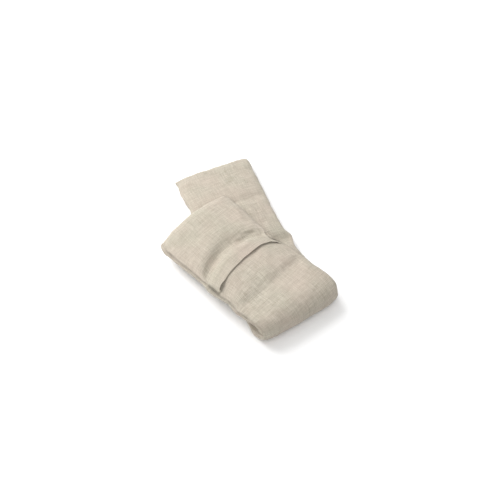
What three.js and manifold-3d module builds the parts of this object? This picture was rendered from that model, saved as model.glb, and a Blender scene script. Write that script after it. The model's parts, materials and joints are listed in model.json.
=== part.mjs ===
// A long flat heat pack: six quilted chambers of dried wheat and herbs in a cotton bag,
// inside a loose linen cover with an envelope opening, folded over on itself at a slight slant.
// Units are millimetres and +Z is up.  The lower leg lies along +Y on the floor; the folded-over
// leg lies on top of it and swings out to -X.
import * as THREE from 'three';
import { mergeVertices } from 'three/addons/utils/BufferGeometryUtils.js';
import Module from 'manifold-3d';

const wasm = await Module();
wasm.setup();

// ---- driving dimensions -------------------------------------------------------------------
const WIDTH = 145;              // filled width of the strip
const THICK = 24.5;             // thickness of one leg
const CHAMBER = 103;            // length of one quilted chamber
const TOP_LENGTH = 260;         // folded-over leg, fold line to end
const LOWER_LENGTH = 6 * CHAMBER - TOP_LENGTH;
const LEG_ANGLE = 18.5;         // degrees between the two legs
const SKEW = THREE.MathUtils.degToRad(LEG_ANGLE / 2);

// Quilting seams, as distances from the fold line along each leg.
const TOP_SEAMS = [TOP_LENGTH - 2 * CHAMBER, TOP_LENGTH - CHAMBER];
const LOWER_SEAMS = [3, 4, 5].map((count) => count * CHAMBER - TOP_LENGTH);

const CLOTH = 0.8;              // cloth thickness
const GAP = 0.3;                // clearance between neighbouring pieces
const HALF_GAP = GAP / 2;
const EDGE_RADIUS = 9;          // rounding of the long edges and of the far ends
const ARC_STEPS = 4;            // facets in each rounded edge
const VALLEY_DEPTH = 4;         // dip of the cover over a quilting seam
const VALLEY_REACH = 22;
const PINCH_FLAT = 2.5;         // half width of the flat stitched strip between chambers
const PINCH_REACH = 26;         // distance over which a chamber swells from its seam
const PINCH_HALF = CLOTH + HALF_GAP;
const BAG_BOTTOM = CLOTH + GAP;
const BAG_HALF = (THICK - BAG_BOTTOM - 2 * (CLOTH + GAP) - CLOTH) / 2;
const BAG_MIDDLE = BAG_BOTTOM + BAG_HALF;

// The opening: the flap's free edge faces the fold and bows toward the leg's end.
const FLAP_EDGE = [[-82, 104], [-33, 120.5], [0, 125], [34, 126.5], [63, 119], [82, 104]];
const FLAP_HEM = 18;
const UNDERLAP_END = 151;
const UNDERLAP_HEM = 14;
const FLAP_RISE = 2 * (CLOTH + GAP);
const HEM_MARGIN = 12;          // the hems stop this far inside the long edges
const FAR = 400;                // longer than any leg, for cutting tools

const LINEN = new THREE.MeshStandardMaterial({ color: 0xd1c5b2, roughness: 0.95, metalness: 0 });
const COTTON = new THREE.MeshStandardMaterial({ color: 0xe6dfd0, roughness: 0.95, metalness: 0 });
const GRAIN = new THREE.MeshStandardMaterial({ color: 0xb98b52, roughness: 0.8, metalness: 0 });
const THREAD = new THREE.MeshStandardMaterial({ color: 0xd9cfbf, roughness: 0.9, metalness: 0 });

// ---- solids -------------------------------------------------------------------------------
function solidOf(geometry) {
  geometry.deleteAttribute('normal');
  geometry.deleteAttribute('uv');
  const merged = mergeVertices(geometry, 1e-4);
  return new wasm.Manifold(new wasm.Mesh({
    numProp: 3,
    vertProperties: new Float32Array(merged.attributes.position.array),
    triVerts: new Uint32Array(merged.index.array),
  }));
}

function meshOf(name, solid, material) {
  const data = solid.getMesh();
  const geometry = new THREE.BufferGeometry();
  geometry.setAttribute('position', new THREE.BufferAttribute(data.vertProperties, 3));
  geometry.setIndex(new THREE.BufferAttribute(data.triVerts, 1));
  geometry.computeVertexNormals();
  const mesh = new THREE.Mesh(geometry, material);
  mesh.name = name;
  return mesh;
}

// Extrudes an outline and lays its x, y and depth directions along the three given axes.
function prism(points, depth, xAxis, yAxis, zAxis, start) {
  const shape = new THREE.Shape(points.map(([x, y]) => new THREE.Vector2(x, y)));
  const geometry = new THREE.ExtrudeGeometry(shape, { depth, bevelEnabled: false });
  geometry.translate(0, 0, start);
  geometry.applyMatrix4(new THREE.Matrix4().makeBasis(xAxis, yAxis, zAxis));
  return solidOf(geometry);
}

const X = new THREE.Vector3(1, 0, 0);
const Y = new THREE.Vector3(0, 1, 0);
const Z = new THREE.Vector3(0, 0, 1);

// Outline drawn as (along the leg, height), running across the leg.
function alongSection(points) {
  return prism(points, 2 * WIDTH, Y, Z, X, -WIDTH);
}

// Outline drawn as (across the leg, height), running the length of the leg.
function acrossSection(points) {
  return prism(points, 2 * FAR, X, Z, Y.clone().negate(), -FAR);
}

// Outline drawn in plan as (across, along), running from floor to above the leg.
function planSection(points) {
  return prism(points, 4 * THICK, X, Y, Z, -2 * THICK);
}

function arc(cx, cy, radiusX, radiusY, fromDegrees, toDegrees, steps) {
  const points = [];
  for (let i = 0; i <= steps; i += 1) {
    const angle = THREE.MathUtils.degToRad(fromDegrees + (toDegrees - fromDegrees) * i / steps);
    points.push([cx + radiusX * Math.cos(angle), cy + radiusY * Math.sin(angle)]);
  }
  return points;
}

// ---- leg outlines -------------------------------------------------------------------------
// Heights of the upper surface along a leg, with a soft dip over every seam.
function coverTop(leg, inset) {
  const points = [[-FAR / 4, THICK - inset]];
  for (const seam of leg.seams) {
    for (let i = -ARC_STEPS; i <= ARC_STEPS; i += 1) {
      const reach = i / ARC_STEPS;
      const dip = VALLEY_DEPTH * (1 + Math.cos(Math.PI * reach)) / 2;
      points.push([seam + VALLEY_REACH * reach, THICK - inset - dip]);
    }
  }
  return points;
}

function coverEnvelope(leg, inset) {
  const radius = EDGE_RADIUS - inset;
  const end = leg.length - EDGE_RADIUS;
  const along = alongSection([
    [-FAR / 4, inset],
    ...arc(end, EDGE_RADIUS, radius, radius, -90, 0, ARC_STEPS),
    ...arc(end, THICK - EDGE_RADIUS, radius, radius, 0, 90, ARC_STEPS),
    ...coverTop(leg, inset).reverse(),
  ]);
  return along.intersect(acrossSection(roundedAcross(inset))).intersect(nose(leg, inset));
}

function roundedAcross(inset) {
  const radius = EDGE_RADIUS - inset;
  const side = WIDTH / 2 - EDGE_RADIUS;
  const high = THICK - EDGE_RADIUS;
  return [
    ...arc(side, EDGE_RADIUS, radius, radius, -90, 0, ARC_STEPS),
    ...arc(side, high, radius, radius, 0, 90, ARC_STEPS),
    ...arc(-side, high, radius, radius, 90, 180, ARC_STEPS),
    ...arc(-side, EDGE_RADIUS, radius, radius, 180, 270, ARC_STEPS),
  ];
}

// The rounded fold end, a quarter round whose straight side is the face between the legs.
// It follows the slanted fold line, so it is turned by the leg's own skew.
function nose(leg, inset) {
  const steps = 2 * ARC_STEPS;
  const radius = THICK - inset;
  const inner = HALF_GAP + Math.max(inset, 0);
  const outline = leg.facesUp
    ? [
      ...arc(THICK, THICK, radius, radius, 180, 270, steps),
      [FAR, inset],
      [FAR, THICK - inner],
      [inset, THICK - inner],
    ]
    : [
      [inset, inner],
      [FAR, inner],
      [FAR, THICK - inset],
      ...arc(THICK, 0, radius, radius, 90, 180, steps),
    ];
  return alongSection(outline.filter(([, height]) => (
    leg.facesUp ? height <= THICK - inner + 1e-6 : height >= inner - 1e-6
  ))).rotate([0, 0, leg.skew]);
}

// Half thickness of the quilted bag: thin at a seam, full in the middle of a chamber.
function bagSection(leg, inset) {
  const upper = [];
  for (const seam of leg.seams) {
    for (const side of [-1, 1]) {
      const run = [];
      for (let i = 0; i <= ARC_STEPS; i += 1) {
        const angle = Math.PI / 2 * i / ARC_STEPS;
        const distance = PINCH_FLAT + PINCH_REACH * (1 - Math.cos(angle));
        const half = PINCH_HALF + (BAG_HALF - PINCH_HALF) * Math.sin(angle);
        run.push([seam + side * distance, Math.max(half - inset, HALF_GAP)]);
      }
      upper.push(...(side < 0 ? run.reverse() : run));
    }
  }
  const end = leg.length - 2 * CLOTH - BAG_HALF;
  const tip = arc(end, 0, BAG_HALF - inset, BAG_HALF - inset, 90, 0, ARC_STEPS);
  const top = [[-FAR / 4, BAG_HALF - inset], ...upper, ...tip];
  const bottom = top.slice(0, -1).map(([along, half]) => [along, -half]);
  return [...bottom, ...top.reverse()].map(([along, half]) => [along, BAG_MIDDLE + half]);
}

function bagEnvelope(leg, inset) {
  return alongSection(bagSection(leg, inset))
    .intersect(acrossSection(roundedAcross(CLOTH + GAP + inset)))
    .intersect(nose(leg, CLOTH + GAP + inset));
}

// ---- cutting tools ------------------------------------------------------------------------
function stretch(from, to) {
  return planSection([[-WIDTH, from], [WIDTH, from], [WIDTH, to], [-WIDTH, to]]);
}

// The side of a leg that faces the other leg.  The parting line runs along the middle of the
// long edges and climbs to the fold line over the last THICK of the leg.
function facingSide(leg, middle, shift) {
  const floor = leg.facesUp ? middle + shift : middle - shift;
  const face = leg.facesUp ? THICK : 0;
  const away = leg.facesUp ? 2 * THICK : -THICK;
  const lip = leg.facesUp ? THICK - 2 * CLOTH + shift : 2 * CLOTH - shift;
  const start = 3 * CLOTH + shift;
  const points = [[start, away], [start, lip], [THICK, floor], [FAR, floor], [FAR, away]];
  const outline = face > away ? points.reverse() : points;
  return alongSection(outline).rotate([0, 0, leg.skew]);
}

// Everything from the flap's bowed edge, moved by `offset` along the leg, to the leg's end.
function beyondFlapEdge(offset) {
  const curve = new THREE.SplineCurve(FLAP_EDGE.map(([x, y]) => new THREE.Vector2(x, y + offset)));
  const edge = curve.getPoints(12).map((point) => [point.x, point.y]);
  return planSection([...edge, [WIDTH, FAR], [-WIDTH, FAR]]);
}

function narrowed(margin) {
  const side = WIDTH / 2 - margin;
  return planSection([[-side, -FAR], [side, -FAR], [side, FAR], [-side, FAR]]);
}

// ---- legs and their layers ------------------------------------------------------------------
const lowerLeg = {
  length: LOWER_LENGTH,
  seams: LOWER_SEAMS,
  facesUp: true,
  skew: LEG_ANGLE / 2,
};
const topLeg = {
  length: TOP_LENGTH,
  seams: TOP_SEAMS,
  facesUp: false,
  skew: -LEG_ANGLE / 2,
};

function coverShell(leg, outerInset) {
  return coverEnvelope(leg, outerInset).subtract(coverEnvelope(leg, outerInset + CLOTH));
}

function bagShell(leg) {
  return bagEnvelope(leg, 0).subtract(bagEnvelope(leg, CLOTH));
}

function splitPanels(leg, shell, middle) {
  return {
    facing: shell.intersect(facingSide(leg, middle, HALF_GAP)),
    outer: shell.subtract(facingSide(leg, middle, -HALF_GAP)),
  };
}

function layersOf(leg) {
  return {
    cover: splitPanels(leg, coverShell(leg, 0), THICK / 2),
    bag: splitPanels(leg, bagShell(leg), BAG_MIDDLE),
    fill: bagEnvelope(leg, CLOTH + GAP),
  };
}

const lower = layersOf(lowerLeg);
const top = layersOf(topLeg);

// A row of quilting stitches pulled down into the flat strip between two chambers.
function quiltRow(name, along) {
  const radius = CLOTH / 2;
  const geometry = new THREE.CylinderGeometry(radius, radius, WIDTH - 2 * EDGE_RADIUS, 6);
  geometry.rotateZ(Math.PI / 2);
  geometry.translate(0, along, BAG_MIDDLE + PINCH_HALF + GAP + radius);
  return meshOf(name, solidOf(geometry), THREAD);
}

// ---- lower leg ----------------------------------------------------------------------------
const lowerGroup = new THREE.Group();
lowerGroup.name = 'lower_leg';
lowerGroup.add(
  meshOf('cover_lower_bottom', lower.cover.outer, LINEN),
  meshOf('cover_lower_top', lower.cover.facing, LINEN),
  meshOf('bag_lower_bottom', lower.bag.outer, COTTON),
  meshOf('bag_lower_top', lower.bag.facing, COTTON),
);
const lowerStops = [-FAR / 4, ...LOWER_SEAMS, LOWER_LENGTH];
['fill_fold_lower', 'fill_chamber_4', 'fill_chamber_5', 'fill_chamber_6'].forEach((name, i) => {
  const from = lowerStops[i] + PINCH_FLAT;
  const to = lowerStops[i + 1] - PINCH_FLAT;
  lowerGroup.add(meshOf(name, lower.fill.intersect(stretch(from, to)), GRAIN));
});
LOWER_SEAMS.forEach((seam, i) => {
  lowerGroup.add(quiltRow(`quilt_row_${i + 3}_${i + 4}`, seam));
});

// ---- folded-over leg: fold, middle and end stretches ----------------------------------------
const topGroup = new THREE.Group();
topGroup.name = 'top_leg';
topGroup.position.z = THICK;
topGroup.rotation.z = 2 * SKEW;

const [foldSeam, endSeam] = TOP_SEAMS;
const foldPart = stretch(-FAR, foldSeam - HALF_GAP);
const middlePart = stretch(foldSeam + HALF_GAP, endSeam - HALF_GAP);
const endPart = stretch(endSeam + HALF_GAP, FAR);

function addStretch(label, part, outerCover) {
  if (outerCover) {
    topGroup.add(meshOf(`cover_${label}_outer`, top.cover.outer.intersect(part), LINEN));
  }
  topGroup.add(
    meshOf(`cover_${label}_under`, top.cover.facing.intersect(part), LINEN),
    meshOf(`bag_${label}_outer`, top.bag.outer.intersect(part), COTTON),
    meshOf(`bag_${label}_under`, top.bag.facing.intersect(part), COTTON),
  );
}

addStretch('fold', foldPart, true);
addStretch('middle', middlePart, false);
addStretch('end', endPart, true);

const topStops = [-FAR / 4, foldSeam, endSeam, TOP_LENGTH];
['fill_fold_top', 'fill_chamber_2', 'fill_chamber_1'].forEach((name, i) => {
  const from = topStops[i] + PINCH_FLAT;
  const to = topStops[i + 1] - PINCH_FLAT;
  topGroup.add(meshOf(name, top.fill.intersect(stretch(from, to)), GRAIN));
});
const ROW_SETBACK = HALF_GAP + GAP + CLOTH / 2;
topGroup.add(
  quiltRow('quilt_row_2_3', foldSeam - ROW_SETBACK),
  quiltRow('quilt_row_1_2', endSeam - ROW_SETBACK),
);

// ---- the envelope opening in the middle stretch ---------------------------------------------
// The panel on the fold side runs on under the flap and ends in its own hem.
const panel = top.cover.outer.intersect(stretch(foldSeam + HALF_GAP, UNDERLAP_END));
const underlapHem = coverShell(topLeg, CLOTH + GAP)
  .intersect(stretch(UNDERLAP_END - UNDERLAP_HEM, UNDERLAP_END))
  .intersect(narrowed(HEM_MARGIN))
  .subtract(facingSide(topLeg, THICK / 2, 0));

const flap = coverShell(topLeg, -FLAP_RISE)
  .intersect(beyondFlapEdge(0))
  .intersect(stretch(0, endSeam - HALF_GAP))
  .subtract(facingSide(topLeg, THICK / 2, -HALF_GAP));
const flapHem = coverShell(topLeg, -FLAP_RISE + CLOTH + GAP)
  .intersect(beyondFlapEdge(CLOTH))
  .subtract(beyondFlapEdge(FLAP_HEM))
  .intersect(narrowed(HEM_MARGIN))
  .subtract(facingSide(topLeg, THICK / 2, 0));

// Two rows of hem stitching, one on the flap and one on the underlap's hidden edge.
function stitchRow(name, points, height) {
  const path = new THREE.CatmullRomCurve3(
    points.map(([x, y]) => new THREE.Vector3(x, y, height)),
  );
  const radius = CLOTH / 4;
  const square = new THREE.Shape([
    new THREE.Vector2(-radius, -radius),
    new THREE.Vector2(radius, -radius),
    new THREE.Vector2(radius, radius),
    new THREE.Vector2(-radius, radius),
  ]);
  const geometry = new THREE.ExtrudeGeometry(square, {
    steps: 12,
    bevelEnabled: false,
    extrudePath: path,
  });
  return meshOf(name, solidOf(geometry), THREAD);
}

const rowSide = WIDTH / 2 - HEM_MARGIN;
const flapRow = FLAP_EDGE
  .filter(([x]) => Math.abs(x) < rowSide + HEM_MARGIN)
  .map(([x, y]) => [x, y + FLAP_HEM - 2 * CLOTH]);
const flapTop = THICK + FLAP_RISE + GAP + CLOTH / 4;

// Short bars of close stitching that lock the two ends of the opening.
function barTack(name, across) {
  const along = FLAP_EDGE[0][1] + 3 * EDGE_RADIUS / 2;
  const geometry = new THREE.BoxGeometry(2 * CLOTH, EDGE_RADIUS, CLOTH);
  geometry.translate(across, along, THICK + FLAP_RISE + GAP + CLOTH / 2);
  return meshOf(name, solidOf(geometry), THREAD);
}

topGroup.add(
  meshOf('cover_middle_panel', panel, LINEN),
  meshOf('cover_underlap_hem', underlapHem, LINEN),
  meshOf('cover_flap', flap, LINEN),
  meshOf('cover_flap_hem', flapHem, LINEN),
  stitchRow('flap_stitch_row', flapRow, flapTop),
  barTack('bar_tack_left', -WIDTH / 2 + HEM_MARGIN),
  barTack('bar_tack_right', WIDTH / 2 - HEM_MARGIN),
);

// ---- assembly, centred on the floor under its bounding box ------------------------------------
const group = new THREE.Group();
group.name = 'folded_heat_pack';
group.add(lowerGroup, topGroup);
group.updateMatrixWorld(true);
const bounds = new THREE.Box3().setFromObject(group, true);
const centre = bounds.getCenter(new THREE.Vector3());
group.position.set(-centre.x, -centre.y, -bounds.min.z);

export default group;
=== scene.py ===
import json
import math

import bpy
import numpy as np
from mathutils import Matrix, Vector


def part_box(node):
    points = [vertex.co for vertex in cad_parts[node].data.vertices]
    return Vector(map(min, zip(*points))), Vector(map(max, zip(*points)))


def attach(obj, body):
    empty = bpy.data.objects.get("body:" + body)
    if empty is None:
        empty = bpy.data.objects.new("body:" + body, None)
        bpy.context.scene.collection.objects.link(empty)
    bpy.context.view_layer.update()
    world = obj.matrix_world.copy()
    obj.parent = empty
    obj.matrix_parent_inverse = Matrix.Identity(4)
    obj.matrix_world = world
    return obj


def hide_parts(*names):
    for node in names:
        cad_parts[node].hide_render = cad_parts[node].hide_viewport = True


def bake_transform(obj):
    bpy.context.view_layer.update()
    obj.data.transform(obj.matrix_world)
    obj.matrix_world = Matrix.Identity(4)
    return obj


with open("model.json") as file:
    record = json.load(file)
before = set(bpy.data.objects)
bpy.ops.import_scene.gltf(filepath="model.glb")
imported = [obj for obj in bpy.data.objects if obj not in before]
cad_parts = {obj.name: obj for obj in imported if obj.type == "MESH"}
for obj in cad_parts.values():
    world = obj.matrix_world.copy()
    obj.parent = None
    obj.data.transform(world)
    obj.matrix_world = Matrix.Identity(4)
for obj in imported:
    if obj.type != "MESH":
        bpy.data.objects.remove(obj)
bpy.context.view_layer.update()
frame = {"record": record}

# ---- dimensions, in metres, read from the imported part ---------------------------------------
JOINTS = {joint["name"]: joint for joint in frame["record"]["behaviour"]["joints"]}
FOLD_POINT = np.array(JOINTS["fold"]["pos_m"], float)
FOLD_AXIS = np.array(JOINTS["fold"]["axis"], float)
THICK = FOLD_POINT[2]
SKEW = math.atan2(FOLD_AXIS[1], FOLD_AXIS[0])
UP = np.array([0.0, 0.0, 1.0])


def middle_of(node):
    low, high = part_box(node)
    return np.array((low + high) / 2)


def distance_along(along, point):
    return float((np.array(point) - FOLD_POINT) @ along)


LOWER_ALONG = np.array([0.0, 1.0, 0.0])
LOWER_ACROSS = np.array([1.0, 0.0, 0.0])
TOP_ACROSS = np.array(JOINTS["seam_1_2"]["axis"], float)
TOP_ALONG = np.cross(UP, TOP_ACROSS)
LOW_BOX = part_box("cover_lower_bottom")
HALF_WIDTH = (LOW_BOX[1].x - LOW_BOX[0].x) / 2
LOWER_END = LOW_BOX[1].y - FOLD_POINT[1]
TOP_SEAMS = [distance_along(TOP_ALONG, JOINTS[name]["pos_m"]) for name in ("seam_2_3", "seam_1_2")]
TOP_END = 2 * TOP_SEAMS[1] - TOP_SEAMS[0]
LOWER_SEAMS = [
    distance_along(LOWER_ALONG, middle_of(f"quilt_row_{i}_{i + 1}")) for i in (3, 4, 5)
]

# ---- the strip: lengths in metres ---------------------------------------------------------------
POWER = 3.2               # how square the strip is in cross-section
AROUND = 38               # faces across one side of the cover
ROW_STEP = 0.0042         # from one row of points to the next
CREASE = 0.011            # how far inside the fold the two inner faces meet
CREASE_SHARE = 0.6        # the bag's own crease lies this share of its inset nearer the fold line
CREASE_RUN = 0.015        # the inner face's rows catch up with the outer ones this far past the nose
EASE = 0.070              # the slanted rows straighten over this length from the fold
HOLLOW = 0.0082           # each inner face stands off this far just inside the fold
HOLLOW_LENGTH = 0.045
END_ROUND = 0.018         # each leg's end rounds off over this length
END_POWER = 2.4           # and this squarely
END_BULGE = 0.007         # the folded-over end is this much longer in its middle
BULGE_REACH = 0.030
EDGE_POWER = 2.5          # how closely the long edges' waves keep to the edges
FAR_SIDE_DIP = 0.2        # the hidden face dips less over the quilting
SEAM_AT_FOLD = 0.62       # the side seams lie this share of the way in from the outer face
SEAM_EASE = 0.07          # and reach the leg's own level over this length from the fold
OVERHANG = 0.076          # the far corner of the folded-over leg hangs out this far
DROOP = 0.012             # and sinks this much
DROOP_POWER = 1.6

# ---- the opening ----------------------------------------------------------------------------
SLIT = 0.1305             # the flap's free edge, along the middle of the folded-over leg
UNDERLAP = 0.026          # the panel runs on this far under the flap
BOW_START = 0.053         # the rows bow with the opening from here along the leg
BOW_STOP = 0.030          # to this far short of the leg's end
BOW_REACH = 0.030         # the bag's rows bow with its outer seam over this length
FLAP_FADE = 0.027         # the flap's lift at the opening fades over this length
PANEL_FADE = 0.012        # and the panel's sinking under it over this one
HEM = 0.0175
UNDERLAP_HEM = 0.012
HEM_REACH = 0.93          # the hems stop this share of the way out to the sides
STITCH_LINE = 0.015       # the flap's stitches lie this far back from its edge
ROLL = 0.0006             # radius of the flap's turned edge
TURN_STEPS = 6
TACK_PITCH = 0.0007       # a bar tack's stitches lie this far apart
TACK_BACK = 0.0035        # and reach this far over the flap
TACK_AHEAD = 0.002        # and this far over the panel

# ---- the bag and the quilting -----------------------------------------------------------------
# How deep each strip dips over the five quilting seams, from seam_2_3 outward, then the lower leg's.
COVER_PINCH = [0.0035, 0.0060, 0.0030, 0.0030, 0.0035]
FORM_PINCH = [0.0050, 0.0075, 0.0060, 0.0055, 0.0052]
BAG_PINCH = [0.0110, 0.0135, 0.0110, 0.0110, 0.0115]
BAG_INSET = 0.0022        # the form that the cover is dropped over lies this far inside it
SHOWN_BAG_INSET = 0.0040  # the bag that is kept lies deeper
FILL_INSET = 0.0052       # and the grain deeper still
SEAM_FLAT = 0.004         # the grain stops this far from a quilting seam

# ---- the simulation and the relief pressed in after it --------------------------------------------
SETTLE_FRAMES = 28
GROUND_DROP = 0.0004      # the ground that the cloth settles on lies this far below the pack
CLOTH_GAP = 0.0008        # the cloth keeps this clear of what it lies on
FLOOR_CLEAR = 0.0003      # no point of the cover ends up lower than this
SMOOTHING = 0.3           # share of the finest kinks that each pass takes out
FOLD_KEPT = 0.075         # over this length from the fold the drawn shape gives way
END_KEPT = 0.035          # and over this length to each end it comes back
END_SHARE = 0.15          # how much the simulation moves the very ends
CREASE_FADE = 0.15        # creases fade out over this share of the half width at the sides
FOLD_CALM = 0.02          # lumps and seams start this far from the fold line
BIG_LUMPS = 0.0007        # lumps of grain that show through the cover, coarse
SMALL_LUMPS = 0.0003      # and fine
SEAM_GROOVE = 0.0052      # the side seams are pulled in this deep
SEAM_LIP = 0.0010         # with a lip above them on the folded-over leg
SIDE_SAG = 0.0046         # whose left side sags out below its seam

# How far each long edge is pulled in (or pushed out, if negative), along the leg from the fold.
TOP_LEFT = [(0, 0.004), (0.010, 0.005), (0.022, 0.004), (0.052, 0.003), (0.078, 0),
            (0.107, 0.004), (0.149, -0.002), (0.173, 0.001), (0.213, -0.0015),
            (0.250, -0.0005), (0.260, 0.003)]
TOP_RIGHT = [(0, 0.001), (0.008, -0.004), (0.022, -0.005), (0.050, -0.002), (0.074, -0.002),
             (0.124, 0.002), (0.147, 0.007), (0.182, 0.0035), (0.224, -0.0005), (0.250, 0.001),
             (0.260, 0.005)]
LOWER_LEFT = [(0, -0.001), (0.008, -0.004), (0.020, -0.0072), (0.048, -0.0070), (0.088, -0.001),
              (0.236, 0), (0.264, -0.004), (0.287, -0.001), (0.320, -0.004), (0.342, -0.001),
              (0.357, -0.003)]
LOWER_RIGHT = [(0, 0.001), (0.008, -0.002), (0.022, -0.002), (0.058, 0), (0.109, 0.013),
               (0.128, 0.0165), (0.144, 0.0155), (0.158, 0.010), (0.173, 0.0175), (0.236, 0.0135),
               (0.268, 0.0085), (0.326, 0.0055), (0.348, 0.001), (0.357, 0.006)]


class Leg:
    """One half of the folded strip: heights are measured away from the face between the legs."""

    def __init__(self, along, across, up, end, seams):
        self.along, self.across, self.up = along, across, up
        self.end, self.seams = end, seams
        self.slant = -up

    def style(self, edges, seam_level, nose_length, nose_power):
        """Sets the wavy long edges, the side seams' level and the rounding toward the fold."""
        self.edges, self.seam_level, self.nose_length = edges, seam_level, nose_length
        angle = np.linspace(0, math.pi / 2, 400)
        self.nose_along = (1 - np.cos(angle) ** (2 / nose_power))
        self.nose_height = np.sin(angle) ** (2 / nose_power)
        step = np.hypot(np.diff(self.nose_along) * nose_length, np.diff(self.nose_height) * THICK)
        self.nose_run = np.concatenate([[0], np.cumsum(step)])
        self.quarter = self.nose_run[-1]
        self.length = self.run_at(self.end)
        return self

    def run_at(self, along):
        return along + self.quarter - self.nose_length

    def outer_point(self, run, inset):
        """Distance along the leg and height of the outer face, at a run from the fold line."""
        if run >= self.quarter:
            return self.nose_length + run - self.quarter, THICK - inset
        length = self.nose_length - inset
        forward = length * (1 - np.interp(run, self.nose_run, self.nose_along))
        height = (THICK - inset) * np.interp(run, self.nose_run, self.nose_height)
        return self.nose_length - forward, height

    def pulled_in(self, x, along):
        """Moves points sideways to follow the leg's wavy long edges."""
        left, right = (np.interp(along, *zip(*edge)) for edge in self.edges)
        return np.where(x < 0, left, -right) * np.abs(x) ** EDGE_POWER

    def place(self, across, along, height):
        return (
            FOLD_POINT
            + np.multiply.outer(across, self.across)
            + np.multiply.outer(along, self.along)
            + np.multiply.outer(self.up * height, UP)
        )


TOP = Leg(TOP_ALONG, TOP_ACROSS, 1, TOP_END, TOP_SEAMS).style(
    edges=(TOP_LEFT, TOP_RIGHT), seam_level=0.30, nose_length=0.034, nose_power=2.15)
LOWER = Leg(LOWER_ALONG, LOWER_ACROSS, -1, LOWER_END, LOWER_SEAMS).style(
    edges=(LOWER_LEFT, LOWER_RIGHT), seam_level=0.50, nose_length=0.024, nose_power=2.5)


# ---- shape of the strip ---------------------------------------------------------------------
def smooth(x):
    x = np.clip(x, 0, 1)
    return x * x * (3 - 2 * x)


def bell(x, width):
    return np.exp(-((x / width) ** 2))


def loop_shape():
    """Across and swell of one side, evenly spaced: left edge to right edge."""
    angle = np.linspace(math.pi, 0, 721)
    across = np.sign(np.cos(angle)) * np.abs(np.cos(angle)) ** (2 / POWER)
    swell = np.abs(np.sin(angle)) ** (2 / POWER)
    step = np.hypot(np.diff(across) * HALF_WIDTH, np.diff(swell) * THICK / 2)
    arc = np.concatenate([[0], np.cumsum(step)])
    at = np.linspace(0, arc[-1], AROUND + 1)
    return np.interp(at, arc, across), np.interp(at, arc, swell), at - arc[-1] / 2


def bow_slit(x):
    """How far the opening bows toward the leg's end, across the leg (x from -1 to 1)."""
    points = [(-1, -0.021), (-0.9, -0.013), (-0.5, -0.003), (0, 0.002), (0.5, 0.0015),
              (0.8, -0.006), (0.88, -0.014), (1, -0.022)]
    return np.interp(x, *zip(*points))


def bow_seam(x):
    """The outer quilting seam shows as a crease that bows the same way."""
    points = [(-1, -0.012), (-0.85, -0.005), (-0.65, 0.003), (-0.25, 0.013), (0.08, 0.015),
              (0.41, 0.010), (0.79, -0.004), (1, -0.008)]
    return np.interp(x, *zip(*points))


def slit_shift(x, along):
    """The rows near the opening bow with it, its hems keeping their width, and the rest ease off."""
    rise = smooth((along - BOW_START) / (SLIT - BOW_START))
    fall = smooth((TOP_END - BOW_STOP - along) / (TOP_END - BOW_STOP - SLIT - UNDERLAP))
    return bow_slit(x) * rise * fall


def drooped(points):
    """Lets the part of the folded-over leg that hangs out past the lower leg sink a little."""
    out = np.clip(LOW_BOX[0].x - points[..., 0], 0, None) / OVERHANG
    points[..., 2] -= DROOP * out ** DROOP_POWER
    return points


def strip(inset, pinch, reach, quilted):
    """Closed rows of points from the folded-over leg's end, round the fold, to the lower leg's end.

    The rows of the quilted bag follow its bowed seam; the cover's only dip over it.
    Gives the points, and each row's leg, its run from the fold and its place on the inner side."""
    across, swell, _ = loop_shape()
    rows, tags = [], []
    for leg in (TOP, LOWER):
        end = leg.end - 2 * inset
        length = leg.run_at(end)
        count = round(leg.length / ROW_STEP)
        made = []
        for k in range(count + 1):
            run = k / count * length
            points, back_s = row_of(leg, run, end, inset, pinch, reach, across, swell, quilted)
            made.append((points, (leg, run, back_s)))
        if leg is TOP:
            made = [(drooped(points), tag) for points, tag in made[::-1]]
        else:
            made = made[1:]
        rows += [points for points, _ in made]
        tags += [tag for _, tag in made]
    return np.array(rows), tags


def over_seams(leg, x, front_s, end, pinch, reach, quilted):
    """How deep a row dips over the quilting, and how far its points shift along the leg."""
    dips = np.zeros_like(x)
    shift = np.zeros_like(x)
    if leg is TOP and not quilted:
        bulge = END_BULGE * (1 - x * x) * bell(front_s - end, BULGE_REACH)
        shift = slit_shift(x, front_s) + bulge
    for number, seam in enumerate(leg.seams):
        near = front_s - seam + shift
        if leg is TOP and number == 1 and quilted:
            shift = bow_seam(x) * bell(near, BOW_REACH)
        elif leg is TOP and number == 1:
            near = near - bow_seam(x)
        depth = pinch[number if leg is TOP else number + 2]
        dips = dips + depth * bell(near, reach)
    return dips, shift


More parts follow.
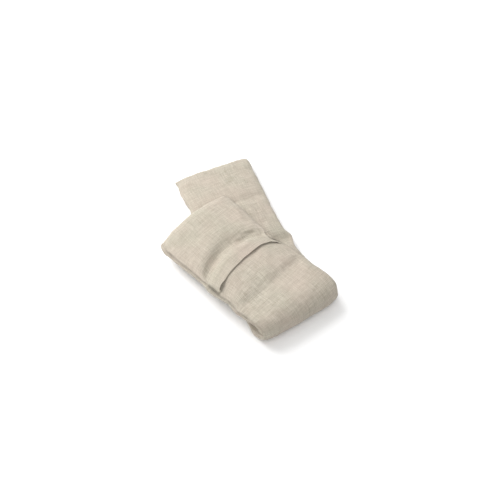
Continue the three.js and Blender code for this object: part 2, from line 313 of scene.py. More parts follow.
def row_of(leg, run, end, inset, pinch, reach, x, swell, quilted):
    """One closed row of points: the outer side from left to right, then the inner side back."""
    front_s, front_h = leg.outer_point(run, inset)
    settle = leg.quarter + CREASE_RUN
    back_s = front_s
    if run < settle:
        crease = CREASE - CREASE_SHARE * inset
        back_s = crease + (leg.nose_length + CREASE_RUN - crease) * run / settle
    hollow = HOLLOW * math.sin(math.pi * np.clip((back_s - CREASE) / HOLLOW_LENGTH, 0, 1))
    back_h = inset * min(1, run / ROW_STEP) + hollow

    slant = leg.slant * math.tan(SKEW) * (1 - smooth(run / EASE))
    dips, shift = over_seams(leg, x, front_s, end, pinch, reach, quilted)
    seam_level = SEAM_AT_FOLD + (leg.seam_level - SEAM_AT_FOLD) * smooth(run / SEAM_EASE)
    mid = front_h + seam_level * (back_h - front_h)
    side_s = front_s + seam_level * (back_s - front_s)
    rounding = (front_s - (end - END_ROUND)) / END_ROUND
    close = (1 - max(0.0, min(1.0, rounding)) ** END_POWER) ** (1 / END_POWER)
    outer_dips, inner_dips = dips, FAR_SIDE_DIP * dips
    if leg is LOWER:
        outer_dips, inner_dips = inner_dips, outer_dips
    side_inset = inset * (2 if quilted else 1)
    width = x * (HALF_WIDTH - side_inset) + leg.pulled_in(x, front_s)
    base = side_s + slant * x * HALF_WIDTH + shift
    front = leg.place(
        width,
        base + (front_s - side_s) * swell,
        mid + (front_h - mid - outer_dips) * swell * close,
    )
    back = leg.place(
        width,
        base + (back_s - side_s) * swell,
        mid + (back_h - mid + inner_dips) * swell * close,
    )
    return np.concatenate([front, back[-2:0:-1]]), back_s


def cloth_places(tags):
    """Where each point lies on the flat cloth: along and across, for the outer and inner side."""
    across, _, run = loop_shape()
    outer, inner = [], []
    for leg, along, back_s in tags:
        turn = math.tan(SKEW) * (1 - smooth(along / EASE))
        sign = -1 if leg is TOP else 1
        slant = turn * across * HALF_WIDTH
        outer.append(np.stack([sign * along + slant, run], axis=1))
        inner.append(np.stack([sign * back_s + slant, run + 1.0], axis=1))
    return np.array(outer), np.array(inner)


# ---- meshes -----------------------------------------------------------------------------------
def mesh_object(name, points, faces, places=None, normals=None):
    """A smooth mesh; `places` and `normals` hold a cloth place and a normal per face corner."""
    data = bpy.data.meshes.new(name)
    data.from_pydata([tuple(p) for p in points], [], [tuple(f) for f in faces])
    if places is not None:
        layer = data.uv_layers.new(name="Cloth")
        layer.data.foreach_set("uv", np.asarray(places, np.float32).ravel())
    data.shade_smooth()
    if normals is not None:
        data.normals_split_custom_set([tuple(n) for n in normals])
    made = bpy.data.objects.new(name, data)
    bpy.context.collection.objects.link(made)
    return made


def welded(name, rows):
    """The whole strip as one closed mesh, its two ends sewn, and which vertex each point became."""
    count, around = rows.shape[:2]
    index = np.arange(count * around).reshape(count, around)
    for end in (0, count - 1):
        for j in range(around // 2 + 1, around):
            index[end, j] = index[end, around - j]
    used, inverse = np.unique(index, return_inverse=True)
    inverse = inverse.reshape(count, around)
    faces = []
    for i in range(count - 1):
        for j in range(around):
            k = (j + 1) % around
            quad = [inverse[i, j], inverse[i + 1, j], inverse[i + 1, k], inverse[i, k]]
            corners = list(dict.fromkeys(int(v) for v in quad))
            if len(corners) > 2:
                faces.append(corners)
    return mesh_object(name, rows.reshape(-1, 3)[used], faces), inverse


def refined(grid, closed):
    """Twice the rows and columns, on smooth curves through the points; columns close up if asked."""
    def halve(points, wrap):
        if wrap:
            before, after = np.roll(points, 1, axis=0), np.roll(points, -1, axis=0)
            beyond = np.roll(points, -2, axis=0)
            middle = (9 * (points + after) - before - beyond) / 16
            both = np.empty((2 * len(points), *points.shape[1:]))
            both[0::2], both[1::2] = points, middle
            return both
        padded = np.concatenate([points[:1], points, points[-1:]])
        middle = (9 * (padded[1:-2] + padded[2:-1]) - padded[:-3] - padded[3:]) / 16
        both = np.empty((2 * len(points) - 1, *points.shape[1:]))
        both[0::2], both[1::2] = points, middle
        return both
    grid = halve(grid, False)
    return halve(grid.swapaxes(0, 1), closed).swapaxes(0, 1)


# ---- cloth simulation -------------------------------------------------------------------------
def collider(made):
    made.modifiers.new("Collision", "COLLISION")
    made.collision.thickness_outer = CLOTH_GAP
    made.collision.thickness_inner = 0.004
    made.collision.cloth_friction = 8


def settled(rows, form):
    """The linen cover dropped over the filled bag, and where its points came to rest."""
    cover, index = welded("loose_cover", rows)
    pad, _ = welded("filled_bag_form", form)
    bpy.ops.mesh.primitive_plane_add(size=1.2, location=(0, 0, -GROUND_DROP))
    ground = bpy.context.object
    collider(pad)
    collider(ground)
    cloth = cover.modifiers.new("Cloth", "CLOTH")
    cloth.settings.quality = 6
    cloth.settings.mass = 0.12
    cloth.settings.tension_stiffness = 20
    cloth.settings.compression_stiffness = 20
    cloth.settings.shear_stiffness = 8
    cloth.settings.bending_stiffness = 0.6
    cloth.settings.air_damping = 2
    cloth.settings.shrink_min = -0.022
    cloth.collision_settings.distance_min = CLOTH_GAP
    cloth.collision_settings.collision_quality = 3
    scene = bpy.context.scene
    cloth.point_cache.frame_start = 1
    cloth.point_cache.frame_end = SETTLE_FRAMES
    for number in range(1, SETTLE_FRAMES + 1):
        scene.frame_set(number)
    shown = cover.evaluated_get(bpy.context.evaluated_depsgraph_get())
    points = np.array([v.co for v in shown.data.vertices], float)
    for used in (cover, pad, ground):
        bpy.data.objects.remove(used)
    scene.frame_set(1)
    return points[index]


class Surface:
    """A closed strip as a grid: its points, their normals and their places on the flat cloth."""

    def __init__(self, points, tags, fine):
        self.outer, self.inner = cloth_places(tags)
        self.run = np.array([-tag[1] if tag[0] is TOP else tag[1] for tag in tags])
        self.along = np.array([leg.outer_point(run, 0)[0] for leg, run, _ in tags])
        self.points = points
        if fine:
            self.points = refined(points, True)
            self.outer, self.inner = refined(self.outer, False), refined(self.inner, False)
            halves = np.arange(2 * len(tags) - 1) / 2
            self.run = np.interp(halves, np.arange(len(tags)), self.run)
            self.along = np.interp(halves, np.arange(len(tags)), self.along)
        self.rows, self.columns = self.points.shape[:2]
        self.side = self.columns // 2
        self.x = np.interp(np.arange(self.side + 1) / self.side, np.linspace(0, 1, AROUND + 1),
                           loop_shape()[0])
        self.find_normals()

    def find_normals(self):
        whole, index = welded("whole_strip", self.points)
        whole.data.update()
        self.normals = np.array([v.normal for v in whole.data.vertices], float)[index]
        bpy.data.objects.remove(whole)

    def press(self, amounts):
        """Moves every point along its normal."""
        self.points = self.points + amounts[:, :, None] * self.normals
        self.points[..., 2] = np.maximum(self.points[..., 2], FLOOR_CLEAR)
        self.find_normals()

    def row(self, leg, along):
        """The row that crosses the leg's middle this far from the fold line."""
        run = leg.run_at(along)
        return int(np.argmin(abs(self.run - (-run if leg is TOP else run))))

    def fold(self):
        return int(np.argmin(abs(self.run)))

    def place(self, spot, side):
        i, j = spot
        if side == "outer":
            return self.outer[i, j]
        return self.inner[i, (self.columns - j) % self.columns]


class Patchwork:
    """Collects quads of a surface's grid into one piece, with cloth places and corner normals."""

    def __init__(self, surface):
        self.surface = surface
        self.points, self.faces, self.places, self.normals = [], [], [], []
        self.index = {}

    def quad(self, keys, points, places, normals):
        corners = []
        for key, point in zip(keys, points):
            if key not in self.index:
                self.index[key] = len(self.points)
                self.points.append(point)
            corners.append(self.index[key])
        kept = [n for n, c in enumerate(corners) if c not in corners[:n]]
        if len(kept) > 2:
            self.faces.append([corners[n] for n in kept])
            self.places += [places[n] for n in kept]
            self.normals += [normals[n] for n in kept]

    def cells(self, first, last, sides=("outer", "inner"), grid=None, layer=""):
        """The cells between two rows, on one side of the strip or both, at other points if given."""
        s = self.surface
        grid = s.points if grid is None else grid
        for side in sides:
            columns = range(0, s.side) if side == "outer" else range(s.side, s.columns)
            for i in range(first, last):
                for j in columns:
                    k = (j + 1) % s.columns
                    spots = [(i, j), (i + 1, j), (i + 1, k), (i, k)]
                    keys = [self.key(spot, layer, last) for spot in spots]
                    places = [s.place(spot, side) for spot in spots]
                    self.quad(keys, [grid[p] for p in spots], places, [s.normals[p] for p in spots])

    def key(self, spot, layer, last):
        i, j = spot
        s = self.surface
        if i in (0, s.rows - 1) and j > s.side:
            j = s.columns - j
        return (i, j) if i == last or not layer else (layer, i, j)

    def cap(self, i, normal):
        """Closes the strip across a row."""
        s = self.surface
        for j in range(s.side):
            spots = [(i, j), (i, (s.columns - j) % s.columns), (i, s.columns - j - 1), (i, j + 1)]
            flat = [s.points[spot] for spot in spots]
            facing = np.cross(flat[2] - flat[0], flat[3] - flat[1]) @ normal
            if facing < 0:
                spots.reverse()
            places = [s.place(p, "outer" if p[1] <= s.side else "inner") for p in spots]
            self.quad(spots, [s.points[p] for p in spots], places, [normal] * 4)

    def object(self, name):
        return mesh_object(name, self.points, self.faces, self.places, self.normals)


def evened(rows):
    """Takes out the finest kinks that the simulation leaves."""
    for _ in range(2):
        around = (np.roll(rows, 1, axis=1) + np.roll(rows, -1, axis=1)) / 2
        rows = rows + SMOOTHING * (around - rows)
        inner = (rows[:-2] + rows[2:]) / 2
        rows[1:-1] += SMOOTHING * (inner - rows[1:-1])
    return rows


def kept_in_shape(rows, drawn, tags):
    """Lets the simulation shape the flat stretches, and the drawn shape keep the fold and the ends.

    The fold's own row keeps its drawn line, so that both legs' pieces meet there in any pose."""
    for i, (leg, run, _) in enumerate(tags):
        at_end = END_SHARE + (1 - END_SHARE) * smooth((leg.length - run) / END_KEPT)
        share = smooth(run / FOLD_KEPT) * at_end
        rows[i] = drawn[i] + (rows[i] - drawn[i]) * share
    return rows


def soft_noise(rows, columns, size, seed):
    """Smooth random lumps of about `size` grid cells, from -1 to 1."""
    rng = np.random.default_rng(seed)
    coarse = rng.uniform(-1, 1, (rows // size + 3, columns // size + 3))
    r, c = np.arange(rows) / size, np.arange(columns) / size
    i, j = r.astype(int), c.astype(int)
    u, v = smooth(r - i)[:, None], smooth(c - j)[None, :]
    top_row = coarse[i][:, j] * (1 - v) + coarse[i][:, j + 1] * v
    low_row = coarse[i + 1][:, j] * (1 - v) + coarse[i + 1][:, j + 1] * v
    return top_row * (1 - u) + low_row * u


def creases(surface):
    """Creases pressed into the cover over the quilting seams, with the soft ridges beside them."""
    x, along, on_top = surface.x, surface.along, surface.run < 0
    amounts = np.zeros(surface.points.shape[:2])
    outer = amounts[:, : surface.side + 1]
    inner = amounts[:, surface.side:]
    fade = smooth((1 - np.abs(x)) / CREASE_FADE)
    left_heavy = (0.35 + 0.65 * smooth((0.95 - x) / 0.8)) * (0.4 + 0.6 * smooth((x + 1) / 0.5))
    shifted = along[:, None] + slit_shift(x[None, :], along[:, None])
    for centre, width, height, share in (
        (TOP_SEAMS[1] + bow_seam(x), 0.0085, -0.0050, left_heavy),
        (TOP_SEAMS[1] - 0.018 + bow_seam(x), 0.0080, 0.0016, left_heavy),
        (TOP_SEAMS[1] + 0.008 + bow_seam(x), 0.0030, -0.0016, bell(x - 0.62, 0.35)),
        (TOP_SEAMS[1] - 0.007 + bow_seam(x), 0.0028, -0.0014, bell(x - 0.72, 0.30)),
        (TOP_SEAMS[0] + 0.016, 0.0105, -0.0038, 0.8 + 0.2 * x),
        (TOP_SEAMS[0] - 0.002, 0.0110, 0.0018, 1.0),
    ):
        outer += on_top[:, None] * bell(shifted - centre, width) * height * share * fade
    for centre, width, height in (
        (LOWER_SEAMS[2], 0.0060, -0.0013),
        (LOWER_SEAMS[2] - 0.014, 0.0090, 0.0012),
        (LOWER_SEAMS[1], 0.0100, -0.0032),
    ):
        inner += np.outer(~on_top * bell(along - centre, width) * height, fade[:0:-1])
    return amounts


def side_seams(surface):
    """The side seams' groove, and the folded-over leg's lip and sag beside it (widths in columns)."""
    column = np.arange(surface.columns)
    from_side = np.minimum(column % surface.side, surface.side - column % surface.side)
    lip = SEAM_LIP * bell(from_side - 1.8, 1.0) * (column < surface.side)
    sag = SIDE_SAG * bell(from_side - 2.6, 1.6) * (column > 1.5 * surface.side)
    groove = SEAM_GROOVE * bell(from_side, 0.9)
    return (lip + sag)[None, :] * (surface.run < 0)[:, None] - groove[None, :]


def relief(surface):
    """What is pressed into the cover: creases, lumps of grain under it, and its side seams."""
    shape = surface.points.shape[:2]
    lumps = BIG_LUMPS * soft_noise(*shape, 7, 3) + SMALL_LUMPS * soft_noise(*shape, 3, 5)
    held = smooth(np.abs(surface.run) / FOLD_CALM)
    return creases(surface) + lumps * held[:, None] + side_seams(surface) * held[:, None]


# ---- the three strips, one inside the other ---------------------------------------------------------
cover_rows, cover_tags = strip(inset=0.0, pinch=COVER_PINCH, reach=0.016, quilted=False)
form_rows, _ = strip(BAG_INSET, FORM_PINCH, reach=0.014, quilted=False)
cover_rows = kept_in_shape(evened(settled(cover_rows, form_rows)), cover_rows, cover_tags)
cover = Surface(cover_rows, cover_tags, fine=True)
cover.press(relief(cover))
bag = Surface(*strip(SHOWN_BAG_INSET, BAG_PINCH, reach=0.014, quilted=True), fine=False)
fill = Surface(*strip(FILL_INSET, BAG_PINCH, reach=0.016, quilted=True), fine=False)

FOLD = cover.fold()
SLIT_ROW = cover.row(TOP, SLIT)
ROW_FINE = abs(cover.run[SLIT_ROW] - cover.run[SLIT_ROW - 1])
X = cover.x
# The opening's ends are sewn into the sides.
SIDES_HELD = smooth((0.94 + X) / 0.04) * smooth((0.94 - X) / 0.06)


def layer_offset(rows_from_slit, amount, fade):
    """How far each outer point moves along its normal, fading away from the opening."""
    offset = np.zeros(cover.points.shape[:2])
    distance = rows_from_slit * ROW_FINE
    offset[:, : cover.side + 1] = np.outer(1 - smooth(distance / fade), amount * SIDES_HELD)
    return offset[:, :, None] * cover.normals


ROWS_BEFORE = SLIT_ROW - np.arange(cover.rows)      # positive on the flap's side
# The flap lifts off the panel, most of all near the opening's left end.
gape = 0.0014 + 0.0042 * bell(X + 0.84, 0.11) + 0.0016 * bell(X - 0.35, 0.30)
flap_grid = cover.points + layer_offset(np.maximum(ROWS_BEFORE, 0), gape, FLAP_FADE)
sunk = 0.0014 + 0.0020 * bell(X + 0.84, 0.13)
panel_grid = cover.points - layer_offset(np.abs(ROWS_BEFORE), sunk, PANEL_FADE)
UNDERLAP_ROWS = round(UNDERLAP / ROW_FINE)

# ---- pieces of the cover ------------------------------------------------------------------------
patch = Patchwork(cover)
patch.cells(FOLD, cover.rows - 1)
patch.cap(FOLD, UP)
cover_lower = patch.object("linen_cover_lower_leg")

patch = Patchwork(cover)
patch.cells(SLIT_ROW, FOLD, grid=panel_grid)
patch.cells(SLIT_ROW - UNDERLAP_ROWS, SLIT_ROW, ("outer",), grid=panel_grid, layer="under")
patch.cap(FOLD, -UP)
cover_panel = patch.object("linen_cover_fold_side")

# The flap's free edge turns under in a half circle and runs back as its hem.
patch = Patchwork(cover)
patch.cells(0, SLIT_ROW, grid=flap_grid)
edge = flap_grid[SLIT_ROW, : cover.side + 1]
edge_out = cover.normals[SLIT_ROW, : cover.side + 1]
edge_ahead = (cover.points[SLIT_ROW + 1] - cover.points[SLIT_ROW - 1])[: cover.side + 1]
edge_ahead /= np.linalg.norm(edge_ahead, axis=1)[:, None]
radius = (ROLL * SIDES_HELD + 0.00002)[:, None]


def turned(step):
    angle = math.pi * step / TURN_STEPS
    point = edge + radius * (edge_ahead * math.sin(angle) - edge_out * (1 - math.cos(angle)))
    return point, edge_ahead * math.sin(angle) + edge_out * math.cos(angle)


for step in range(TURN_STEPS):
    (near, near_out), (far, far_out) = turned(step), turned(step + 1)
    for j in range(cover.side):
        keys = [(SLIT_ROW, j) if step == 0 else ("turn", step, j), ("turn", step + 1, j),
                ("turn", step + 1, j + 1), (SLIT_ROW, j + 1) if step == 0 else ("turn", step, j + 1)]
        places = [cover.outer[SLIT_ROW, k] + (s * ROLL, 0)
                  for k, s in ((j, step), (j, step + 1), (j + 1, step + 1), (j + 1, step))]
        patch.quad(keys, [near[j], far[j], far[j + 1], near[j + 1]], places,
                   [near_out[j], far_out[j], far_out[j + 1], near_out[j + 1]])
cover_flap = patch.object("linen_cover_flap_side")


def hem_band(name, grid, first, last, drop):
    """A strip of cloth under the outer side, between two rows and clear of the sewn sides."""
    inside = [j for j in range(cover.side + 1) if abs(X[j]) < HEM_REACH]
    band = Patchwork(cover)
    lowered = grid - cover.normals * drop
    for i in range(first, last):
        for j in inside[:-1]:
            spots = [(i, j), (i, j + 1), (i + 1, j + 1), (i + 1, j)]
            band.quad(spots, [lowered[s] for s in spots], [cover.outer[s] for s in spots],
                      [-cover.normals[s] for s in spots])
    return band.object(name)


HEM_ROWS = round(HEM / ROW_FINE)
flap_hem = hem_band("linen_flap_hem", flap_grid, SLIT_ROW - HEM_ROWS, SLIT_ROW, 2 * ROLL)
underlap_last = SLIT_ROW - UNDERLAP_ROWS
underlap_hem = hem_band(
    "linen_underlap_hem", panel_grid, underlap_last,
    underlap_last + round(UNDERLAP_HEM / ROW_FINE), ROLL)


# ---- stitches -----------------------------------------------------------------------------------
def stitches(name, line, normals, length, gap, radius):
    """Separate rounded stitches laid end to end along a line of points."""
    along = np.concatenate([[0], np.cumsum(np.linalg.norm(np.diff(line, axis=0), axis=1))])
    points, faces = [], []
    start = 0.0
    while start + length < along[-1]:
        ends = []
        for at in (start, start + length):
            ends.append(np.array([np.interp(at, along, line[:, k]) for k in range(3)]))
        out = np.array([np.interp(start, along, normals[:, k]) for k in range(3)])
        add_stitch(points, faces, ends[0], ends[1], out / np.linalg.norm(out), radius)
        start += length + gap
    return mesh_object(name, points, faces)


def add_stitch(points, faces, first, last, out, radius):
    """One stitch: a thin six-sided bead that arches up from the cloth."""
    run = last - first
    side = np.cross(out, run / np.linalg.norm(run))
    base = len(points)
    for share, size in ((0.0, 0.45), (0.2, 0.95), (0.5, 1.0), (0.8, 0.95), (1.0, 0.45)):
        centre = first + run * share + out * radius * (0.3 + 1.2 * math.sin(math.pi * share))
        for k in range(6):
            angle = math.pi / 3 * k
            points.append(centre + radius * size * (side * math.cos(angle) + out * math.sin(angle)))
    for ring in range(4):
        for k in range(6):
            n = (k + 1) % 6
            a, b = base + 6 * ring, base + 6 * ring + 6
            faces.append((a + k, a + n, b + n, b + k))
    faces.append(tuple(base + k for k in range(5, -1, -1)))
    faces.append(tuple(base + 24 + k for k in range(6)))


def across_row(surface, row, grid, reach):
    """A line of points across the outer side, short of the sewn sides, with the normals there."""
    inside = [j for j in range(surface.side + 1) if abs(surface.x[j]) < reach]
    return grid[row, inside], surface.normals[row, inside]


line, out = across_row(cover, SLIT_ROW - round(STITCH_LINE / ROW_FINE), flap_grid, 0.955)
flap_stitches = stitches("flap_hem_stitches", line, out, length=0.0026, gap=0.0009, radius=0.00022)


def bar_tack(name, x):
    """A short block of close parallel stitches over one end of the opening."""
    j = int(np.argmin(abs(X - x)))
    points, faces = [], []
    across = cover.points[SLIT_ROW, j + 1] - cover.points[SLIT_ROW, j]
    across /= np.linalg.norm(across)
    for k in range(6):
        centre = flap_grid[SLIT_ROW, j] + across * TACK_PITCH * (k - 2.5) + edge_out[j] * 0.0001
        add_stitch(points, faces, centre - edge_ahead[j] * TACK_BACK,
                   centre + edge_ahead[j] * TACK_AHEAD, edge_out[j], radius=0.00028)
    return mesh_object(name, points, faces)


tack_left = bar_tack("bar_tack_left_stitches", -0.915)
tack_right = bar_tack("bar_tack_right_stitches", 0.93)

# ---- the filled bag inside: each leg's bag and grain stop just short of the fold ------------------
BAG_CUT = bag.row(TOP, (TOP_SEAMS[0] + TOP_SEAMS[1]) / 2)
patch = Patchwork(bag)
patch.cells(bag.fold() + 1, bag.rows - 1)
patch.cap(bag.fold() + 1, UP)
bag_lower = patch.object("cotton_bag_lower_leg")
patch = Patchwork(bag)
patch.cells(BAG_CUT, bag.fold() - 1)
patch.cap(bag.fold() - 1, -UP)
bag_fold = patch.object("cotton_bag_fold_side")
patch = Patchwork(bag)
patch.cells(0, BAG_CUT)
bag_end = patch.object("cotton_bag_end_side")


def chamber(name, leg, start, stop):
    """The grain in one chamber, from start to stop along a leg.

    None as the start stands for the row beside the fold, and as the stop for the leg's end."""
    if start is None:
        first = fill.fold() + (-1 if leg is TOP else 1)
    else:
        first = fill.row(leg, start + SEAM_FLAT)
    if stop is None:
        last = 0 if leg is TOP else fill.rows - 1
    else:
        last = fill.row(leg, stop - SEAM_FLAT)
    first, last = sorted((first, last))
    made = Patchwork(fill)
    made.cells(first, last)
    if first > 0:
        made.cap(first, cap_normal(first, first + 1))
    if last < fill.rows - 1:
        made.cap(last, cap_normal(last, last - 1))
    return made.object(name)


def cap_normal(row, inward):
    """Out of the strip's end at a row."""
    step = fill.points[row].mean(axis=0) - fill.points[inward].mean(axis=0)
    return step / np.linalg.norm(step)


CHAMBERS = [
    ("fill_chamber_1", TOP, TOP_SEAMS[1], None, "end_stretch"),
    ("fill_chamber_2", TOP, TOP_SEAMS[0], TOP_SEAMS[1], "middle_stretch"),
    ("fill_fold_top", TOP, None, TOP_SEAMS[0], "fold_stretch"),
    ("fill_fold_lower", LOWER, None, LOWER_SEAMS[0], "lower_leg"),
    ("fill_chamber_4", LOWER, LOWER_SEAMS[0], LOWER_SEAMS[1], "lower_leg"),
    ("fill_chamber_5", LOWER, LOWER_SEAMS[1], LOWER_SEAMS[2], "lower_leg"),
    ("fill_chamber_6", LOWER, LOWER_SEAMS[2], None, "lower_leg"),
]
fills = []
for node, leg, start, stop, body in CHAMBERS:
    made = chamber(node.replace("fill", "grain"), leg, start, stop)
    fills.append((made, node, body))

QUILTING = [
    ("quilt_row_1_2", TOP, TOP_SEAMS[1], "middle_stretch"),
    ("quilt_row_2_3", TOP, TOP_SEAMS[0], "fold_stretch"),
    ("quilt_row_3_4", LOWER, LOWER_SEAMS[0], "lower_leg"),
    ("quilt_row_4_5", LOWER, LOWER_SEAMS[1], "lower_leg"),
    ("quilt_row_5_6", LOWER, LOWER_SEAMS[2], "lower_leg"),
]
quilting = []
for node, leg, seam, body in QUILTING:
    line, out = across_row(bag, bag.row(leg, seam), bag.points, 0.95)
    made = stitches(node.replace("quilt_row", "quilting"), line, out,
                    length=0.0032, gap=0.0012, radius=0.00025)
    quilting.append((made, node, body))


# ---- materials ------------------------------------------------------------------------------------
class Shading:
    """A node material, built up one node at a time."""

    def __init__(self, name):
        self.material = bpy.data.materials.new(name)
        self.material.use_nodes = True
        self.tree = self.material.node_tree
        self.shader = self.tree.nodes["Principled BSDF"]

    def value(self, source, target):
        if isinstance(source, bpy.types.NodeSocket):
            self.tree.links.new(source, target)
        else:
            target.default_value = source

    def math(self, operation, first, second=0.0, third=0.0):
        node = self.tree.nodes.new("ShaderNodeMath")
        node.operation = operation
        for number, source in enumerate((first, second, third)):
            self.value(source, node.inputs[number])
        return node.outputs[0]

    def vector(self, x, y, z=0.0):
        node = self.tree.nodes.new("ShaderNodeCombineXYZ")
        for number, source in enumerate((x, y, z)):
            self.value(source, node.inputs[number])
        return node.outputs[0]

    def noise(self, vector, scale, detail=2.0):
        node = self.tree.nodes.new("ShaderNodeTexNoise")
        self.value(vector, node.inputs["Vector"])
        node.inputs["Scale"].default_value = scale
        node.inputs["Detail"].default_value = detail
        return node.outputs["Fac"]

    def mix(self, factor, first, second):
        node = self.tree.nodes.new("ShaderNodeMix")
        node.data_type = "RGBA"
        self.value(factor, node.inputs["Factor"])
        self.value(first, node.inputs["A"])
        self.value(second, node.inputs["B"])
        return node.outputs["Result"]

    def ramp(self, source, low, high):
        node = self.tree.nodes.new("ShaderNodeMapRange")
        self.value(source, node.inputs["Value"])
        node.inputs["From Min"].default_value = low
        node.inputs["From Max"].default_value = high
        return node.outputs["Result"]

    def bump(self, height, strength, distance):
        node = self.tree.nodes.new("ShaderNodeBump")
        self.value(height, node.inputs["Height"])
        node.inputs["Strength"].default_value = strength
        node.inputs["Distance"].default_value = distance
        self.tree.links.new(node.outputs["Normal"], self.shader.inputs["Normal"])


def colour(red, green, blue):
    return (red, green, blue, 1.0)


def woven(name, pitch, dark, light, tint, cool, slub, relief):
    """Plain-weave cloth laid out on the piece's own cloth places."""
    s = Shading(name)
    uv = s.tree.nodes.new("ShaderNodeUVMap")
    uv.uv_map = "Cloth"
    split = s.tree.nodes.new("ShaderNodeSeparateXYZ")
    s.tree.links.new(uv.outputs["UV"], split.inputs[0])
    wander = s.noise(uv.outputs["UV"], 90.0, 1.0)
    along = s.math("MULTIPLY_ADD", wander, 2.2 * pitch, split.outputs[0])
    across = s.math("MULTIPLY_ADD", wander, -1.8 * pitch, split.outputs[1])
    warp = s.math("MULTIPLY", across, 1 / pitch)
    weft = s.math("MULTIPLY", along, 1 / pitch)

    # Each thread has its own thickness and shade, which change along its length.
    warp_thread = s.noise(s.vector(s.math("MULTIPLY", along, 34.0), s.math("FLOOR", warp), 0.0), 1.37)
    weft_thread = s.noise(s.vector(s.math("FLOOR", weft), s.math("MULTIPLY", across, 34.0), 7.0), 1.37)
    over = s.math("MULTIPLY", s.math("SINE", s.math("MULTIPLY", warp, math.pi)),
                  s.math("SINE", s.math("MULTIPLY", weft, math.pi)))
    threads = s.math("MULTIPLY", s.math("ADD", warp_thread, weft_thread), 0.5)
    streak = s.ramp(threads, 0.5 - slub, 0.5 + slub)
    base = s.mix(streak, dark, light)
    patch_noise = s.noise(uv.outputs["UV"], 16.0, 3.0)
    base = s.mix(s.math("MULTIPLY", s.ramp(patch_noise, 0.38, 0.66), 0.5), base, tint)
    green_noise = s.noise(s.vector(along, s.math("ADD", across, 3.7)), 11.0, 2.0)
    base = s.mix(s.math("MULTIPLY", s.ramp(green_noise, 0.50, 0.72), 0.3), base, cool)
    # Painted shade: along the lines between the threads the colour is mixed 35% toward dark brown,
    # standing in for the shade in the weave's gaps.
    gap = s.ramp(s.math("ABSOLUTE", over), 0.0, 0.28)
    shaded = s.mix(gap, s.mix(0.35, base, colour(0.10, 0.07, 0.04)), base)
    s.tree.links.new(shaded, s.shader.inputs["Base Color"])
    rough = s.math("MULTIPLY_ADD", streak, 0.12, 0.82)
    s.tree.links.new(rough, s.shader.inputs["Roughness"])
    s.shader.inputs["Sheen Weight"].default_value = 0.12
    s.shader.inputs["Sheen Roughness"].default_value = 0.6
    s.shader.inputs["Specular IOR Level"].default_value = 0.2
    height = s.math("ADD", s.math("MULTIPLY", s.math("ABSOLUTE", over), 0.5), threads)
    s.bump(height, relief, 0.0005)
    return s.material


def grain_material():
    """Dried wheat with flecks of leaf."""
    s = Shading("wheat_and_herbs")
    place = s.tree.nodes.new("ShaderNodeTexCoord").outputs["Object"]
    kernels = s.tree.nodes.new("ShaderNodeTexVoronoi")
    kernels.inputs["Scale"].default_value = 260.0
    s.tree.links.new(place, kernels.inputs["Vector"])
    base = s.mix(s.ramp(s.noise(place, 140.0), 0.35, 0.65), colour(0.36, 0.20, 0.08),
                 colour(0.62, 0.42, 0.20))
    base = s.mix(s.ramp(s.noise(place, 210.0), 0.62, 0.68), base, colour(0.13, 0.16, 0.06))
    s.tree.links.new(base, s.shader.inputs["Base Color"])
    s.shader.inputs["Roughness"].default_value = 0.7
    s.bump(kernels.outputs["Distance"], 0.8, 0.0015)
    return s.material


def thread_material():
    """Twisted sewing thread."""
    s = Shading("sewing_thread")
    place = s.tree.nodes.new("ShaderNodeTexCoord").outputs["Object"]
    base = s.mix(s.noise(place, 900.0), colour(0.50, 0.45, 0.36), colour(0.62, 0.57, 0.47))
    s.tree.links.new(base, s.shader.inputs["Base Color"])
    s.shader.inputs["Roughness"].default_value = 0.85
    s.bump(s.noise(place, 2500.0, 1.0), 0.3, 0.0002)
    return s.material


LINEN = woven("natural_linen", 0.00085, colour(0.385, 0.345, 0.275), colour(0.605, 0.56, 0.47),
              colour(0.57, 0.47, 0.40), colour(0.48, 0.475, 0.37), 0.13, 0.65)
COTTON = woven("undyed_cotton", 0.0005, colour(0.66, 0.62, 0.54), colour(0.76, 0.73, 0.66),
               colour(0.72, 0.68, 0.60), colour(0.70, 0.68, 0.61), 0.20, 0.25)
GRAIN = grain_material()
THREAD = thread_material()


def finish_piece(piece, material, nodes):
    piece.data.materials.append(material)
    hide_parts(*nodes)


def bend_fold(piece):
    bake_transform(piece)


def bend_end(piece):
    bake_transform(piece)


finish_piece(cover_lower, LINEN, ["cover_lower_bottom", "cover_lower_top"])
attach(cover_lower, "lower_leg")
finish_piece(cover_panel, LINEN,
             ["cover_fold_outer", "cover_fold_under", "cover_middle_panel"])
bend_fold(cover_panel)
finish_piece(cover_flap, LINEN,
             ["cover_flap", "cover_middle_under", "cover_end_outer", "cover_end_under"])
bend_end(cover_flap)

finish_piece(flap_hem, LINEN, ["cover_flap_hem"])
bend_end(flap_hem)
finish_piece(underlap_hem, LINEN, ["cover_underlap_hem"])
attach(underlap_hem, "middle_stretch")

finish_piece(flap_stitches, THREAD, ["flap_stitch_row"])
bend_end(flap_stitches)
finish_piece(tack_left, THREAD, ["bar_tack_left"])
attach(tack_left, "middle_stretch")
finish_piece(tack_right, THREAD, ["bar_tack_right"])
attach(tack_right, "middle_stretch")

finish_piece(bag_lower, COTTON, ["bag_lower_bottom", "bag_lower_top"])
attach(bag_lower, "lower_leg")
finish_piece(bag_fold, COTTON, ["bag_fold_outer", "bag_fold_under"])
bend_fold(bag_fold)
finish_piece(bag_end, COTTON,
             ["bag_middle_outer", "bag_middle_under", "bag_end_outer", "bag_end_under"])
bend_end(bag_end)

for piece, node, body in fills:
    finish_piece(piece, GRAIN, [node])
    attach(piece, body)
for piece, node, body in quilting:
    finish_piece(piece, THREAD, [node])
    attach(piece, body)

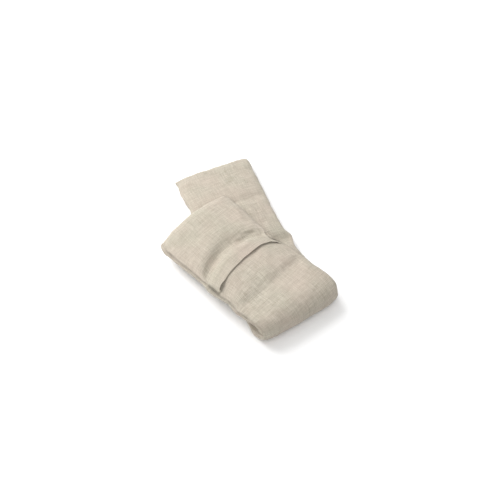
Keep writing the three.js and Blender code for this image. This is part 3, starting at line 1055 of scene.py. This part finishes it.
# ---- stage, camera and light ------------------------------------------------------------------------
VIEW_AZIMUTH = math.radians(-25.2)
VIEW_ELEVATION = math.radians(53.3)
VIEW_DISTANCE = 1.217
LENS = 51.5
AIM = Vector((0.02763, -0.0025, 0.0))

camera_data = bpy.data.cameras.new("camera")
camera_data.lens = LENS
camera = bpy.data.objects.new("camera", camera_data)
back = Vector((
    math.sin(VIEW_AZIMUTH) * math.cos(VIEW_ELEVATION),
    -math.cos(VIEW_AZIMUTH) * math.cos(VIEW_ELEVATION),
    math.sin(VIEW_ELEVATION),
))
camera.location = AIM + back * VIEW_DISTANCE
camera.rotation_euler = (-back).to_track_quat("-Z", "Y").to_euler()
bpy.context.collection.objects.link(camera)
bpy.context.scene.camera = camera

bpy.ops.mesh.primitive_plane_add(size=30, location=(0, 0, -0.0002))
floor = bpy.context.object
floor.name = "floor"
pale = bpy.data.materials.new("pale_floor")
pale.use_nodes = True
pale.node_tree.nodes["Principled BSDF"].inputs["Base Color"].default_value = colour(1.0, 1.0, 1.0)
pale.node_tree.nodes["Principled BSDF"].inputs["Roughness"].default_value = 0.9
floor.data.materials.append(pale)

world = bpy.data.worlds.new("studio")
bpy.context.scene.world = world
world.use_nodes = True
world.node_tree.nodes["Background"].inputs["Color"].default_value = colour(1, 1, 1)
world.node_tree.nodes["Background"].inputs["Strength"].default_value = 0.30


def aimed(name, kind, position, strength):
    """A light aimed at the middle of the scene."""
    data = bpy.data.lights.new(name, kind)
    data.energy = strength
    lamp = bpy.data.objects.new(name, data)
    lamp.location = position
    lamp.rotation_euler = (AIM - Vector(position)).to_track_quat("-Z", "Y").to_euler()
    bpy.context.collection.objects.link(lamp)
    return data


aimed("key_softbox", "AREA", (-0.50, 1.10, 1.20), 29).size = 1.3
aimed("fill_softbox", "AREA", (-0.30, -0.90, 1.50), 8).size = 1.4
aimed("side_softbox", "AREA", (-1.40, -0.30, 0.60), 2.5).size = 0.8
aimed("overhead", "SUN", (0.10, 0.50, 2.00), 0.9).angle = math.radians(100)
bpy.context.scene.view_settings.view_transform = "Standard"
